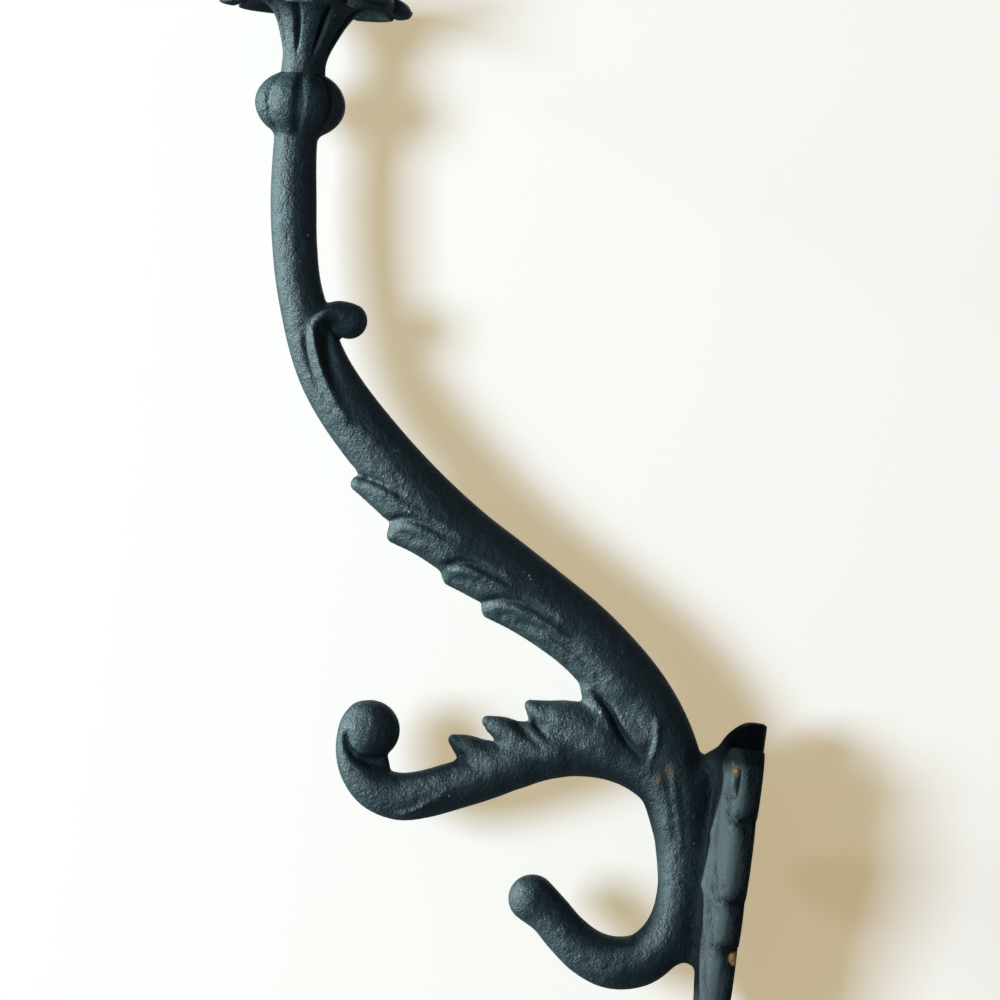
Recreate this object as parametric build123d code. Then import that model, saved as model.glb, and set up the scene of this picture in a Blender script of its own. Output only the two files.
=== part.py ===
"""Triple wall hook: one iron casting, modelled in millimetres.

+Z is up as the hook hangs, the wall is the plane Y = 0 and the hook stands out from it towards -Y.
The casting is a mirror image of itself about X = 0. The origin is on the wall face, level with the
root of the lower hook. A leaf-shaped back plate carries a round body, and from the body grow a tall
upper arm with a ball and a flared flower on its end, a middle hook that ends in a scroll, and a
small lower hook that ends in a ball.
"""
from build123d import *
import os
from math import cos, hypot, radians, sin

# ---- driving dimensions, millimetres ------------------------------------------------------------

# back plate
PLATE_TOP = 39.4            # height of the top of the plate above the origin
PLATE_DROP = 50.0           # depth of the plate's tail below the origin
PLATE_WIDTH = 43.0          # across the widest leaf lobes
PLATE_CROWN = 10.0          # thickness along the middle of the plate
PLATE_TAIL_CROWN = 4.4      # thickness along the middle at the end of the tail
RIM_THICKNESS = 3.0         # thickness at the tips of the widest lobes
NIB_THICKNESS = 4.6         # thickness of the small flat nib at the top

# screw holes: two beside the arm, one in the tail
SCREW_BORE = 4.5
SCREW_HEAD = 8.2            # countersink diameter at the plate's front
SCREW_HEAD_DEPTH = 2.4
SCREW_SINK = 0.6            # depth of the countersink's mouth below the arched front
UPPER_SCREW_SPACING = 28.0
UPPER_SCREW_HEIGHT = 26.5
LOWER_SCREW_DEPTH = 37.5

# body, the round stem that stands on the plate
BODY_DIAMETER = 10.8
BODY_BITE = 1.6             # how far the round body sinks into the plate's crown

# upper arm
UPPER_REACH = 123.6         # from the wall to the centre of the ball
UPPER_RISE = 162.7          # from the origin to the centre of the ball
STEM_DIAMETER = 10.0
LEAF_DIAMETER = 14.2        # the thick leaf-covered half of the arm

# ball and flower on the upper arm
BALL_DIAMETER = 20.4
BALL_HEIGHT = 15.6
GADROON_COUNT = 8
GADROON_DEPTH = 0.9
FLOWER_LEAN = 3.0           # degrees that the ball and flower lean away from the wall
FLOWER_SHIFT = 1.2          # how far the flower's centre stands towards the wall from the ball's
FLOWER_DIAMETER = 44.0
FLOWER_NECK_DIAMETER = 9.8
FLOWER_HEIGHT = 17.5        # from the neck to the rim's upper edge
FLOWER_LIP = 3.4            # thickness at the petal tips
PETAL_COUNT = 8
PETAL_NOTCH = 3.0           # how deep the rim is cut in between two petals

# middle hook
MIDDLE_REACH = 88.2         # from the wall to the centre of the scroll
MIDDLE_RISE = 25.7          # height of the scroll's centre
MIDDLE_ROOT_DIAMETER = 12.8
MIDDLE_ROD_DIAMETER = 10.8
SCROLL_DIAMETER = 13.4

# lower hook
LOWER_REACH = 46.5          # from the wall to the centre of the end ball
LOWER_END_RISE = -6.7
LOWER_ROD_DIAMETER = 11.8
LOWER_NECK_DIAMETER = 9.6
LOWER_BALL_DIAMETER = 10.9

BODY_AXIS = PLATE_CROWN - BODY_BITE + BODY_DIAMETER / 2


# ---- building blocks ----------------------------------------------------------------------------

def side(out, up):
    """A point of the middle plane, given by its distance from the wall and its height."""
    return Vector(0, -out, up)


def between(start, end, shares):
    """A point that lies at the given shares of the way out and of the way up from start to end."""
    return (start[0] + (end[0] - start[0]) * shares[0], start[1] + (end[1] - start[1]) * shares[1])


def rod(stations):
    """A round rod through (out, up, diameter) stations: a loft of circles square to a smooth route."""
    route = Spline(*[side(out, up) for out, up, diameter in stations])
    circles = []
    for out, up, diameter in stations:
        where = route.param_at_point(side(out, up))
        heading = route % where
        across = Plane(origin=side(out, up), x_dir=(1, 0, 0), z_dir=heading)
        circles.append(across * Circle(diameter / 2))
    return loft(circles)


def drop(tip, tip_diameter, tail, tail_diameter):
    """A leaf point: two balls and the cone that wraps both, turned about the line between them."""
    length = hypot(tail[0] - tip[0], tail[1] - tip[1])
    small = tip_diameter / 2
    large = tail_diameter / 2
    lean = (large - small) / length
    rise = (1 - lean * lean) ** 0.5
    near = (-small * lean, small * rise)
    far = (length - large * lean, large * rise)
    profile = Polyline(near, far)
    profile += RadiusArc(far, (length + large, 0), large)
    profile += Line((length + large, 0), (-small, 0))
    profile += RadiusArc((-small, 0), near, small)
    turned = revolve(make_face(profile), Axis.X, 360)
    heading = side(*tail) - side(*tip)
    return Plane(origin=side(*tip), x_dir=heading, z_dir=(1, 0, 0)) * turned


def ball(centre, diameter):
    return Pos(*side(*centre)) * Sphere(diameter / 2)


# ---- back plate ---------------------------------------------------------------------------------

def lobe_rows():
    """The leaf's side lobes as (distance from the middle, height, radius) circles, top to bottom."""
    half = PLATE_WIDTH / 2
    drop_step = PLATE_DROP / 50.0
    top_step = PLATE_TOP / 39.4
    rows = [
        (6.0, 30.5 * top_step, 6.4),
        (half - 8.2, UPPER_SCREW_HEIGHT, 8.2),
        (half - 8.6, 10.0 * top_step, 8.6),
        (half - 6.4, -4.6 * drop_step, 5.6),
        (half - 9.2, -16.0 * drop_step, 6.8),
        (half - 13.0, -28.5 * drop_step, 6.6),
    ]
    return rows


def plate_outline():
    """The leaf outline in the wall plane: a tall core, round side lobes, a top nib and a tail."""
    nib_half = 5.2
    tail_radius = 6.6
    core = Ellipse(13.0, (PLATE_TOP + PLATE_DROP) / 2 - 5.0)
    outline = Pos(0, (PLATE_TOP - PLATE_DROP) / 2) * core
    outline += Pos(0, PLATE_TOP - 6.0) * Rectangle(2 * nib_half, 12.0)
    outline += Pos(0, tail_radius - PLATE_DROP) * Circle(tail_radius)
    for out, up, radius in lobe_rows():
        for hand in (-1, 1):
            outline += Pos(hand * out, up) * Circle(radius)
    return outline


def plate_section(height, crown):
    """The plate cut level at one height: a flat back, and a front arched over the middle."""
    reach = PLATE_WIDTH / 2 + 4.0
    arch = (PLATE_CROWN - RIM_THICKNESS) / (PLATE_WIDTH / 2) ** 2
    edge = max(crown - arch * reach * reach, 0.6)
    front = ThreePointArc((-reach, -edge, height), (0, -crown, height), (reach, -edge, height))
    right = Line((reach, -edge, height), (reach, 0, height))
    back = Line((reach, 0, height), (-reach, 0, height))
    left = Line((-reach, 0, height), (-reach, -edge, height))
    return make_face([front, right, back, left])


def crown_at(height):
    """Thickness along the middle of the plate: full beside the arms, rounded down to the nib at the
    top, and thinning evenly from the origin down to the tail."""
    shoulder = PLATE_TOP - 8.6
    if height > shoulder:
        share = min((height - shoulder) / (PLATE_TOP - shoulder), 1.0)
        return NIB_THICKNESS + (PLATE_CROWN - NIB_THICKNESS) * (1 - share ** 2.4)
    if height > 0:
        return PLATE_CROWN
    return PLATE_CROWN - (PLATE_CROWN - PLATE_TAIL_CROWN) * -height / PLATE_DROP


def back_plate():
    """The domed leaf: the outline's prism, cut to the arched front."""
    heights = [PLATE_TOP - step for step in (-1.0, 0.6, 2.4, 4.8, 8.0, 14.0, 26.0)]
    heights += [-share * PLATE_DROP for share in (0.05, 0.25, 0.5, 0.75, 1.02)]
    dome = loft([plate_section(height, crown_at(height)) for height in heights])
    prism = extrude(Plane.XZ * plate_outline(), PLATE_CROWN + 2.0)
    return prism & dome


def screw_places():
    return [
        (-UPPER_SCREW_SPACING / 2, UPPER_SCREW_HEIGHT),
        (UPPER_SCREW_SPACING / 2, UPPER_SCREW_HEIGHT),
        (0.0, -LOWER_SCREW_DEPTH),
    ]


def screw_cutter(out, up):
    """A countersunk screw hole square to the wall, its head sunk below the arched front."""
    arch = (PLATE_CROWN - RIM_THICKNESS) / (PLATE_WIDTH / 2) ** 2
    face = crown_at(up) - arch * out * out - SCREW_SINK
    bore = Plane.XZ * Pos(out, up) * Circle(SCREW_BORE / 2)
    sink_floor = Plane.XZ.offset(face - SCREW_HEAD_DEPTH) * Pos(out, up) * Circle(SCREW_BORE / 2)
    sink_mouth = Plane.XZ.offset(face) * Pos(out, up) * Circle(SCREW_HEAD / 2)
    mouth = extrude(sink_mouth, 6.0)
    return extrude(bore, PLATE_CROWN + 4.0) + loft([sink_floor, sink_mouth]) + mouth


# ---- body and arms ------------------------------------------------------------------------------

def spine():
    """The long rod: it rises from the lower hook's ball, turns up the plate as the body, swings out
    from the wall as the upper arm and ends upright in the gadrooned ball."""
    foot = (BODY_AXIS, 0.0)
    top = (UPPER_REACH, UPPER_RISE)
    low = (LOWER_REACH, LOWER_END_RISE)
    thick = LEAF_DIAMETER
    stem = STEM_DIAMETER
    bend = LOWER_ROD_DIAMETER
    neck = LOWER_NECK_DIAMETER
    lower_course = [
        ((1.0, 1.0), neck),
        ((0.862, 1.46), neck),
        ((0.736, 2.00), neck + 0.5),
        ((0.571, 2.53), bend - 0.9),
        ((0.355, 2.74), bend + 0.1),
        ((0.162, 2.33), bend),
        ((0.042, 1.50), bend - 0.6),
        ((0.0, 0.30), BODY_DIAMETER),
    ]
    upper_course = [
        ((0.007, 0.062), BODY_DIAMETER + 1.2),
        ((0.025, 0.140), thick - 0.8),
        ((0.061, 0.189), thick),
        ((0.104, 0.228), thick + 0.2),
        ((0.191, 0.289), thick + 0.4),
        ((0.277, 0.333), thick),
        ((0.362, 0.369), thick),
        ((0.453, 0.405), thick),
        ((0.544, 0.441), thick),
        ((0.641, 0.487), thick - 0.2),
        ((0.733, 0.538), thick - 0.6),
        ((0.828, 0.601), thick - 1.0),
        ((0.887, 0.659), thick - 2.2),
        ((0.942, 0.741), stem + 0.9),
        ((0.972, 0.811), stem + 0.3),
        ((0.987, 0.879), stem + 0.2),
        ((0.997, 0.936), stem - 0.2),
        ((1.0, 1.0), stem - 0.4),
    ]
    stations = [between(foot, low, shares) + (diameter,) for shares, diameter in lower_course]
    stations += [between(foot, top, shares) + (diameter,) for shares, diameter in upper_course]
    return rod(stations)


def upper_leaf():
    """Four overlapping leaf points along the front of the upper arm, each running back into it."""
    foot = (BODY_AXIS, 0.0)
    end = (UPPER_REACH, UPPER_RISE)
    points = [
        ((0.770, 0.490), 4.0, (0.625, 0.458), 12.6),
        ((0.681, 0.428), 4.2, (0.533, 0.411), 11.2),
        ((0.557, 0.381), 3.8, (0.420, 0.371), 12.2),
        ((0.469, 0.343), 3.8, (0.300, 0.324), 10.6),
    ]
    lobes = []
    for tip, tip_diameter, tail, tail_diameter in points:
        lobes.append(drop(between(foot, end, tip), tip_diameter, between(foot, end, tail), tail_diameter))
    return lobes


def upper_curl():
    """The small scroll on the wall side of the upper arm, where the leaf's sheath ends."""
    foot = (BODY_AXIS, 0.0)
    end = (UPPER_REACH, UPPER_RISE)
    return drop(between(foot, end, (0.836, 0.713)), 8.2, between(foot, end, (0.885, 0.664)), 11.0)


def middle_hook():
    """The middle hook: a round rod that dips, thins and rolls up round the scroll's ball."""
    foot = (BODY_AXIS, 0.0)
    end = (MIDDLE_REACH, MIDDLE_RISE)
    root = MIDDLE_ROOT_DIAMETER
    bar = MIDDLE_ROD_DIAMETER
    course = [
        ((0.03, 0.60), root - 2.0),
        ((0.12, 0.88), root - 0.6),
        ((0.215, 1.045), root),
        ((0.325, 1.110), root),
        ((0.432, 1.065), root - 0.4),
        ((0.533, 0.920), root - 0.8),
        ((0.634, 0.752), root - 1.4),
        ((0.722, 0.615), bar + 0.2),
        ((0.809, 0.502), bar),
        ((0.884, 0.463), bar),
        ((0.960, 0.514), bar - 1.0),
        ((1.019, 0.654), bar - 2.8),
        ((1.048, 0.825), bar - 4.4),
        ((1.040, 0.990), bar - 4.8),
    ]
    return rod([between(foot, end, shares) + (diameter,) for shares, diameter in course])


def middle_scroll():
    """The scroll's ball and the thin web that closes the space between it and the rolled-up rod."""
    centre = (MIDDLE_REACH, MIDDLE_RISE)
    web_radius = SCROLL_DIAMETER * 0.44
    web_centre = side(MIDDLE_REACH - 0.4, MIDDLE_RISE - 6.2)
    web = Pos(*web_centre) * Rot(0, 90, 0) * Cylinder(web_radius, 5.0)
    return [ball(centre, SCROLL_DIAMETER), web]


def webs():
    """The cast fillets between the arms, the body and the plate, as short tapered rounds."""
    foot = (BODY_AXIS, 0.0)
    top = (UPPER_REACH, UPPER_RISE)
    crotch = drop(between(foot, top, (0.238, 0.252)), 5.6, between(foot, top, (0.12, 0.20)), 12.0)
    valley = drop((PLATE_CROWN + 0.4, PLATE_TOP - 10.2), 4.8, (BODY_AXIS + 1.4, PLATE_TOP - 17.0), 9.0)
    heel = drop((PLATE_CROWN - 0.6, -13.4), 5.6, (BODY_AXIS + 1.2, -12.0), 9.6)
    return [crotch, valley, heel]


def middle_leaf():
    """Three saw-tooth leaf points that stand up along the top of the middle hook."""
    foot = (BODY_AXIS, 0.0)
    end = (MIDDLE_REACH, MIDDLE_RISE)
    points = [
        ((0.528, 1.409), 3.0, (0.352, 1.276), 12.8),
        ((0.650, 1.222), 3.0, (0.486, 1.070), 11.4),
        ((0.738, 1.019), 3.0, (0.607, 0.875), 11.2),
    ]
    teeth = []
    for tip, tip_diameter, tail, tail_diameter in points:
        teeth.append(drop(between(foot, end, tip), tip_diameter, between(foot, end, tail), tail_diameter))
    return teeth


# ---- ball and flower ----------------------------------------------------------------------------

def finial_plane():
    """The ball's centre, with the local Z along the leaning axis of the ball and the flower."""
    lean = radians(FLOWER_LEAN)
    axis = Vector(0, -sin(lean), cos(lean))
    return Plane(origin=side(UPPER_REACH, UPPER_RISE), x_dir=(1, 0, 0), z_dir=axis)


def gadrooned_ball():
    """A flattened ball with shallow grooves cut from pole to pole, one facing each side."""
    half_height = BALL_HEIGHT / 2
    half_width = BALL_DIAMETER / 2
    profile = EllipticalCenterArc((0, 0), half_width, half_height, start_angle=-90, arc_size=180)
    outline = make_face([profile, Line((0, half_height), (0, -half_height))])
    body = revolve(Plane.XZ * outline, Axis.Z, 360)
    cutter_radius = GADROON_DEPTH * 1.5
    path_width = half_width + cutter_radius - GADROON_DEPTH
    path = Plane.XZ * EllipticalCenterArc((0, 0), path_width, half_height, start_angle=-62, arc_size=124)
    start = path @ 0
    cutter = sweep(Plane(origin=start, z_dir=path % 0) * Circle(cutter_radius), path=path)
    for step in range(GADROON_COUNT):
        body -= Rot(0, 0, step * 360 / GADROON_COUNT) * cutter
    return finial_plane() * body


def flower():
    """A flared flower: a trumpet turned about the axis, its rim cut into round petals."""
    base = BALL_HEIGHT / 2 - 1.4
    neck = FLOWER_NECK_DIAMETER / 2
    top = BALL_HEIGHT / 2 + 0.8 + FLOWER_HEIGHT
    rim = FLOWER_DIAMETER / 2
    under = Spline(
        (neck, base),
        (neck - 0.1, base + 3.6),
        (neck + 1.6, base + 9.0),
        (neck + 4.2, base + 13.0),
        (neck + 8.4, base + 15.6),
        (rim - 5.2, base + 16.3),
        (rim - 1.4, base + 15.4),
    )
    lip = ThreePointArc(
        (rim - 1.4, base + 15.4),
        (rim, base + 15.4 + FLOWER_LIP * 0.4),
        (rim - 1.0, base + 15.4 + FLOWER_LIP),
    )
    crown = Spline((rim - 1.0, base + 15.4 + FLOWER_LIP), (rim * 0.55, top + 0.3), (0, top + 1.0))
    axis_line = Polyline((0, top + 1.0), (0, base), (neck, base))
    trumpet = revolve(Plane.XZ * make_face([under, lip, crown, axis_line]), Axis.Z, 360)
    petal_pitch = 360 / PETAL_COUNT
    notch_radius = 2.2
    for step in range(PETAL_COUNT):
        angle = (step + 0.5) * petal_pitch
        notch = Pos(rim + notch_radius - PETAL_NOTCH, 0, 0) * Cylinder(notch_radius, 4 * top)
        trumpet -= Rot(0, 0, angle) * notch
    return finial_plane() * Pos(0, FLOWER_SHIFT, 0) * trumpet


# ---- the casting --------------------------------------------------------------------------------

def casting():
    solid = back_plate()
    solid += spine()
    solid += middle_hook()
    for piece in webs() + upper_leaf() + middle_leaf() + middle_scroll():
        solid += piece
    solid += upper_curl()
    solid += ball((LOWER_REACH, LOWER_END_RISE), LOWER_BALL_DIAMETER)
    solid += gadrooned_ball()
    solid += flower()
    for out, up in screw_places():
        solid -= screw_cutter(out, up)
    return solid


os.makedirs("parts", exist_ok=True)
hook_casting = casting()
print("solids", len(hook_casting.solids()), "volume", round(hook_casting.volume / 1000, 1), "cm3")
print("box", hook_casting.bounding_box())
export_step(hook_casting.solids()[0], "parts/hook_casting.step")
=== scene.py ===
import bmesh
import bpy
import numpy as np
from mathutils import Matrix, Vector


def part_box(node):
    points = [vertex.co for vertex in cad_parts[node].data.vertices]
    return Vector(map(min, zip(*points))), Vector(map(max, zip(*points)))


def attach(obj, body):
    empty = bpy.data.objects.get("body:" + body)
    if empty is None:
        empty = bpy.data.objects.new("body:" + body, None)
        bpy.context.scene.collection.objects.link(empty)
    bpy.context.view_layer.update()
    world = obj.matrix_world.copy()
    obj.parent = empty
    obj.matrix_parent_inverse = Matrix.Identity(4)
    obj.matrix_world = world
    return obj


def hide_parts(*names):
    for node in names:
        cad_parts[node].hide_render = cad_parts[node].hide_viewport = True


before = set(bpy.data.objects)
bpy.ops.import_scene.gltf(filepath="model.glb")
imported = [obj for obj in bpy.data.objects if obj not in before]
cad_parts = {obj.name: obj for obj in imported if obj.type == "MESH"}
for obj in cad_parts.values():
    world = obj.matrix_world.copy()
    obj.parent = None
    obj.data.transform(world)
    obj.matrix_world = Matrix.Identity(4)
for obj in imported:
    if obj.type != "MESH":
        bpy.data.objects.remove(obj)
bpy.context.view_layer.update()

# Triple wall hook: the painted skin of one sand-cast iron casting, its finish, and its light and view.
# The casting stands in the frame's own place: the wall is Y = 0, the arms reach towards -Y, +Z is up
# and the two halves mirror each other about X = 0. Shapes are worked out in millimetres as
# (side, out, up): side is the distance from the middle plane, out from the wall, up from the origin.

NODE = "hook_casting"
MM = 0.001
VOXEL = 0.585        # size of the skin's net, mm

LOW = np.array(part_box(NODE)[0]) / MM        # the casting's lower corner
PLATE_HALF = 21.5                           # half the leaf's width
PLATE_TOP = 39.4
PLATE_DROP = -LOW[2]                        # from the origin down to the tail's tip
CROWN = 10.0                                # thickness along the plate's middle
TAIL_CROWN = 4.4                            # the same at the tail
RIM = 2.4                                   # thickness at the leaf's widest
SCREWS = [(-14.0, 26.5), (14.0, 26.5), (0.0, -37.5)]      # (side, up) of each screw's axis
SCREW_RADIUS = 2.25
SINK_RADIUS = 4.1                           # at the mouth of the countersink
PAD_HEIGHT = 5.6                            # of the flat round each upper screw
PAD_RADIUS = 6.2
PAD_TILT = 0.16


# ---- routes and distances -----------------------------------------------------------------------

def smooth(stations, per_span=6):
    """A route through given stations: a Catmull-Rom curve, worked out for every column at
    once. Columns are out, up, the half depth in the middle plane and the half width across it."""
    rows = np.asarray(stations, float)
    before = np.vstack([2 * rows[0] - rows[1], rows[:-2]])
    after = np.vstack([rows[2:], 2 * rows[-1] - rows[-2]])
    start, end = rows[:-1], rows[1:]
    t = (np.arange(per_span) / per_span)[None, :, None]
    a, b, c, d = (part[:, None, :] for part in (before, start, end, after))
    curve = 0.5 * (2 * b + (c - a) * t + (2 * a - 5 * b + 4 * c - d) * t ** 2
                   + (3 * b - a - 3 * c + d) * t ** 3)
    return np.vstack([curve.reshape(-1, rows.shape[1]), rows[-1:]])


def nearest(flat, route, weigh_radius=False):
    """For points of the middle plane, the nearest place on a route of straight spans: the distance,
    the share of the route's length up to that place, and the route's other columns there."""
    start, end = route[:-1], route[1:]
    span = end[:, :2] - start[:, :2]
    square = np.maximum((span ** 2).sum(1), 1e-9)
    lengths = np.concatenate([[0], np.cumsum(np.sqrt(square))])
    distance = np.empty(len(flat))
    share = np.empty(len(flat))
    extra = np.empty((len(flat), route.shape[1] - 2))
    for first in range(0, len(flat), 20000):
        part = slice(first, first + 20000)
        gap = flat[part, None, :] - start[None, :, :2]
        t = np.clip((gap * span).sum(2) / square, 0, 1)
        off = gap - t[:, :, None] * span
        reach = np.sqrt((off ** 2).sum(2))
        score = reach
        if weigh_radius:
            radius = start[:, 2] + t * (end[:, 2] - start[:, 2])
            score = reach / radius
        best = score.argmin(1)
        rows = np.arange(len(best))
        along = t[rows, best]
        distance[part] = reach[rows, best]
        share[part] = (lengths[best] + along * (lengths[best + 1] - lengths[best])) / lengths[-1]
        extra[part] = start[best, 2:] + along[:, None] * (end[best, 2:] - start[best, 2:])
    return distance, share, extra


def limb_distance(points, route):
    """Distance to the skin of a limb: an oval section, carried along its route with round ends."""
    flat = points[:, 1:]
    distance, share, size = nearest(flat, route, weigh_radius=True)
    depth, width = size[:, 0], size[:, 1]
    side = points[:, 0]
    oval = np.sqrt((distance / depth) ** 2 + (side / width) ** 2) + 1e-6
    slope = np.sqrt((distance / depth ** 2) ** 2 + (side / width ** 2) ** 2) + 1e-6
    return oval * (oval - 1) / slope


def blend(a, b, radius):
    """The smaller of two distances, with a fillet of about the given radius where they meet."""
    overlap = np.maximum(radius - np.abs(a - b), 0) / radius
    return np.minimum(a, b) - overlap ** 2 * radius / 4


def carve(a, b, radius):
    """The larger of two distances, with the edge between them rounded."""
    return -blend(-a, -b, radius)


def inside_outline(points, outline):
    """Signed distance to a closed outline, negative inside: the distance to its nearest side, with
    the sign from how often a level ray from the point crosses it."""
    closed = np.vstack([outline, outline[:1]])
    distance, _, _ = nearest(points, np.hstack([closed, np.zeros((len(closed), 1))]))
    x, y = points[:, 0], points[:, 1]
    crossings = np.zeros(len(points), int)
    for (x0, y0), (x1, y1) in zip(closed[:-1], closed[1:]):
        if y0 == y1:
            continue
        straddles = (y0 > y) != (y1 > y)
        crossings += straddles & (x < x0 + (y - y0) * (x1 - x0) / (y1 - y0))
    return np.where(crossings % 2 == 1, -distance, distance)


# ---- the arms -----------------------------------------------------------------------------------

# (out, up, half depth, half width) from the lower hook's ball, up the body and the tall arm
SPINE = smooth([
    (46.6, -6.7, 5.4, 5.4), (42.2, -9.7, 4.9, 4.9), (37.9, -13.5, 5.0, 5.1), (32.5, -17.0, 5.45, 5.4),
    (26.6, -18.4, 5.95, 5.7), (20.6, -16.9, 5.9, 5.7), (16.4, -12.4, 5.6, 5.6), (14.3, -6.5, 5.3, 5.5),
    (13.8, 0.0, 5.3, 5.5), (14.1, 5.0, 5.7, 5.6), (14.9, 10.5, 6.2, 5.8), (16.4, 17.5, 6.5, 6.2),
    (18.7, 25.0, 6.7, 6.8), (21.7, 31.5, 6.9, 7.2), (25.6, 37.4, 7.1, 7.5), (30.4, 43.0, 7.2, 7.5),
    (36.4, 48.4, 7.3, 7.4), (44.6, 54.5, 7.4, 7.2), (53.8, 60.2, 7.3, 7.0), (63.6, 66.0, 7.2, 6.8),
    (73.7, 71.8, 7.2, 6.6), (84.4, 79.3, 7.1, 6.5), (94.5, 87.7, 6.9, 6.3), (104.9, 98.0, 6.5, 5.9),
    (111.6, 107.3, 5.9, 5.5), (117.4, 120.2, 5.1, 5.1), (120.2, 130.5, 5.05, 5.0),
    (122.0, 141.0, 5.2, 5.0), (123.2, 151.0, 4.95, 4.9), (123.8, 160.0, 4.8, 4.8),
])

UPPER_LOBES = [smooth(rows) for rows in (
    [(98.5, 80.0, 1.9, 3.2), (92.0, 78.3, 4.1, 5.6), (84.0, 75.0, 5.9, 7.0), (75.0, 70.6, 6.4, 7.3)],
    [(88.7, 69.8, 2.1, 3.4), (82.0, 69.2, 3.5, 5.6), (74.0, 67.2, 5.0, 7.0), (63.0, 63.2, 6.0, 7.3)],
    [(74.9, 62.0, 2.0, 3.2), (68.0, 61.4, 3.5, 5.4), (60.0, 60.0, 4.9, 6.8), (50.0, 56.0, 6.0, 7.4)],
    [(65.2, 56.0, 2.0, 3.2), (58.0, 55.0, 3.3, 5.2), (50.0, 52.6, 4.3, 6.6), (41.0, 48.5, 5.6, 7.2),
     (34.0, 43.0, 6.2, 7.4)],
)]

CURL = smooth([
    (105.8, 116.1, 4.1, 4.4), (108.6, 117.2, 3.0, 5.0), (111.6, 116.3, 2.2, 5.8),
    (113.4, 113.6, 1.6, 6.2), (112.5, 110.0, 1.5, 6.6), (110.3, 104.6, 1.6, 6.8),
    (106.8, 98.8, 2.0, 6.7), (103.0, 94.0, 2.4, 6.3),
])

MIDDLE = smooth([
    (17.5, 16.0, 5.0, 5.4), (21.0, 22.6, 5.8, 6.2), (26.4, 26.4, 6.2, 6.6), (32.5, 28.3, 6.4, 6.8),
    (39.0, 28.5, 6.4, 6.6), (46.0, 27.1, 6.2, 6.2), (53.5, 23.8, 6.0, 5.8), (61.0, 19.4, 5.7, 5.5),
    (67.5, 16.0, 5.4, 5.3), (74.0, 13.1, 5.35, 5.3), (79.6, 11.8, 5.35, 5.2), (85.2, 12.9, 4.9, 4.9),
    (89.6, 16.3, 4.0, 4.5), (92.1, 20.8, 3.1, 4.2), (92.3, 25.3, 2.8, 4.0), (90.6, 28.8, 2.8, 4.0),
])

MIDDLE_TEETH = [smooth(rows) for rows in (
    [(53.2, 36.2, 1.5, 3.0), (49.6, 34.4, 3.6, 4.8), (44.0, 33.6, 5.0, 6.2), (36.0, 31.6, 6.8, 6.8)],
    [(62.2, 31.3, 1.5, 2.8), (58.6, 29.8, 3.2, 4.6), (53.0, 27.8, 4.6, 5.8), (46.0, 26.8, 4.8, 6.4)],
    [(69.0, 26.1, 1.5, 2.8), (65.6, 24.6, 3.2, 4.4), (60.5, 22.8, 4.2, 5.4), (54.0, 23.0, 4.6, 5.8)],
)]

SCROLL_BALL = smooth([(88.1, 25.7, 6.7, 6.2), (88.2, 25.6, 6.7, 6.2)])
SCROLL_WEB = smooth([(88.6, 20.4, 5.0, 2.2), (86.0, 17.4, 3.6, 2.2)])
CROTCH = smooth([(40.0, 41.4, 2.2, 4.6), (35.0, 37.5, 5.0, 5.8), (28.0, 33.0, 6.4, 6.6)])
HEEL = smooth([(9.8, -13.2, 2.8, 3.4), (14.0, -11.5, 4.4, 4.6)])
VALLEY = smooth([(10.6, 29.6, 2.2, 3.6), (15.0, 22.0, 4.6, 5.0)])


# ---- ball and flower ----------------------------------------------------------------------------

FINIAL_FOOT = np.array([123.6, 162.8])      # out and up of the ball's centre
FINIAL_LEAN = np.radians(3.0)               # away from the wall
BALL_HALF = np.array([10.2, 7.8])           # half width and half height
GADROONS = 8                                # swellings of the ball, and petals of the flower
PETAL_REACH = 21.9
FLOWER_SHIFT = 1.5                          # how far the cup sits towards the wall


def finial_frame(points):
    """Side, wallward and height coordinates about the leaning axis of the ball and the flower."""
    outward = points[:, 1] - FINIAL_FOOT[0]
    upward = points[:, 2] - FINIAL_FOOT[1]
    height = upward * np.cos(FINIAL_LEAN) + outward * np.sin(FINIAL_LEAN)
    across = outward * np.cos(FINIAL_LEAN) - upward * np.sin(FINIAL_LEAN)
    return points[:, 0], across, height


def ball_distance(points):
    """A flattened ball whose radius dips at eight even grooves that run from pole to pole."""
    side, across, height = finial_frame(points)
    angle = np.arctan2(across, side)
    radial = np.hypot(side, across)
    turn = np.abs((angle * GADROONS / (2 * np.pi) + 0.5) % 1 - 0.5)
    dip = 1 - 0.085 * np.exp(-(turn / 0.13) ** 2) - 0.03 * (1 - 2 * turn)
    wide = BALL_HALF[0] * (dip + 0.03)
    oval = np.sqrt((radial / wide) ** 2 + (height / BALL_HALF[1]) ** 2) + 1e-6
    slope = np.sqrt((radial / wide ** 2) ** 2 + (height / BALL_HALF[1] ** 2) ** 2) + 1e-6
    return oval * (oval - 1) / slope


FLOWER_SIDE = smooth([
    (5.2, 5.0), (4.95, 8.8), (5.3, 11.6), (6.5, 15.0), (7.9, 18.2), (9.5, 20.6), (11.7, 22.3),
    (14.2, 23.2), (16.6, 23.3), (18.8, 22.4), (20.2, 21.3), (21.4, 21.3), (21.9, 22.8), (21.3, 24.7),
    (18.9, 25.7), (14.0, 24.9), (9.0, 24.2), (6.0, 24.0), (4.6, 24.8), (3.0, 25.5),
], 3)
FLOWER_RIM = int(np.argmax(FLOWER_SIDE[:, 0]))


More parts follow.
